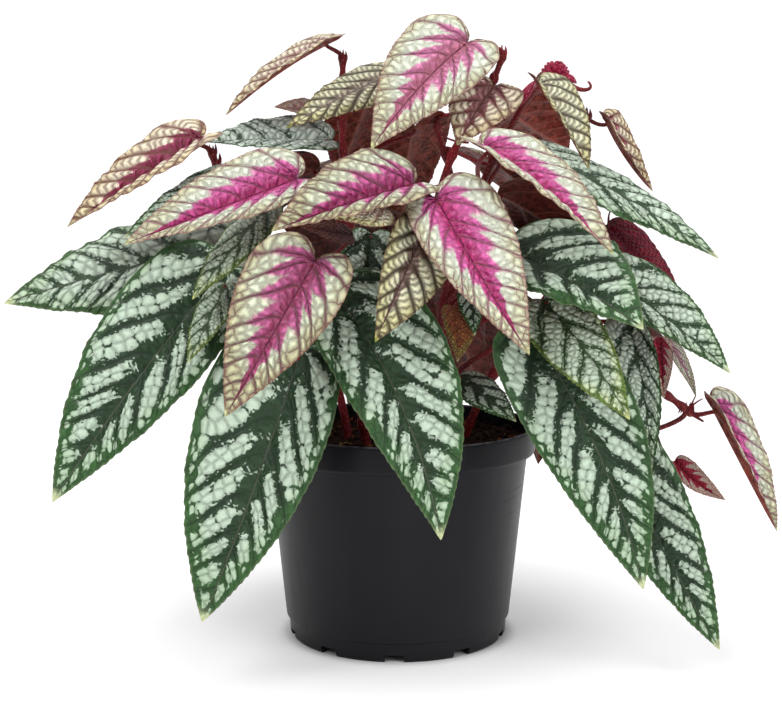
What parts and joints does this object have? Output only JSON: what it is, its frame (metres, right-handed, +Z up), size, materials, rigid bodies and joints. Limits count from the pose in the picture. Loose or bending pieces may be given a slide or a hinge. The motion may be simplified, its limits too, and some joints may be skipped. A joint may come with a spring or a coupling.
{
  "type": "potted rex begonia vine",
  "caption": "Bushy potted vine with pointed heart-shaped leaves, silver and dark green with pink young growth, in a tapered round plastic nursery pot.",
  "frame": {"origin": "middle of the pot's base, on the surface that it stands on", "axes": "+Z up along the pot's axis, -Y towards the side that the picture shows, +X to the right as seen from that side"},
  "size_m": [0.3193, 0.2386, 0.2667],
  "materials": {
    "pot_plastic": "satin charcoal black",
    "potting_soil": "matte dark peat with crumbs and fibres",
    "stem": "smooth dark red",
    "young_leaf": "satin, magenta and cream with a brownish pink net",
    "mature_leaf": "satin, dark green veins with silver patches between them"
  },
  "bodies": {
    "root": {"pot": "pot_plastic", "soil": "potting_soil", "stem_1": "stem", "stem_2": "stem", "stem_3": "stem", "stem_4": "stem", "stem_5": "stem", "stem_6": "stem", "stem_7": "stem", "stem_8": "stem", "stem_9": "stem", "young_leaf_01": "young_leaf", "young_leaf_02": "young_leaf", "young_leaf_03": "young_leaf", "young_leaf_04": "young_leaf", "young_leaf_05": "young_leaf", "young_leaf_06": "young_leaf", "young_leaf_07": "young_leaf", "young_leaf_08": "young_leaf", "young_leaf_09": "young_leaf", "young_leaf_10": "young_leaf", "young_leaf_11": "young_leaf", "young_leaf_12": "young_leaf", "young_leaf_13": "young_leaf", "young_leaf_14": "young_leaf", "young_leaf_15": "young_leaf", "young_leaf_16": "young_leaf", "young_leaf_17": "young_leaf", "young_leaf_18": "young_leaf", "young_leaf_19": "young_leaf", "young_leaf_20": "young_leaf", "mature_leaf_01": "mature_leaf", "mature_leaf_02": "mature_leaf", "mature_leaf_03": "mature_leaf", "mature_leaf_04": "mature_leaf", "mature_leaf_05": "mature_leaf", "mature_leaf_06": "mature_leaf", "mature_leaf_07": "mature_leaf", "mature_leaf_08": "mature_leaf", "mature_leaf_09": "mature_leaf", "mature_leaf_10": "mature_leaf", "mature_leaf_11": "mature_leaf", "mature_leaf_12": "mature_leaf", "mature_leaf_13": "mature_leaf", "mature_leaf_14": "mature_leaf", "mature_leaf_15": "mature_leaf", "mature_leaf_16": "mature_leaf", "mature_leaf_17": "mature_leaf", "mature_leaf_18": "mature_leaf", "mature_leaf_19": "mature_leaf", "mature_leaf_20": "mature_leaf", "mature_leaf_21": "mature_leaf", "mature_leaf_22": "mature_leaf", "mature_leaf_23": "mature_leaf", "mature_leaf_24": "mature_leaf", "mature_leaf_25": "mature_leaf", "mature_leaf_26": "mature_leaf", "mature_leaf_27": "mature_leaf", "mature_leaf_28": "mature_leaf"}
  },
  "joints": []
}
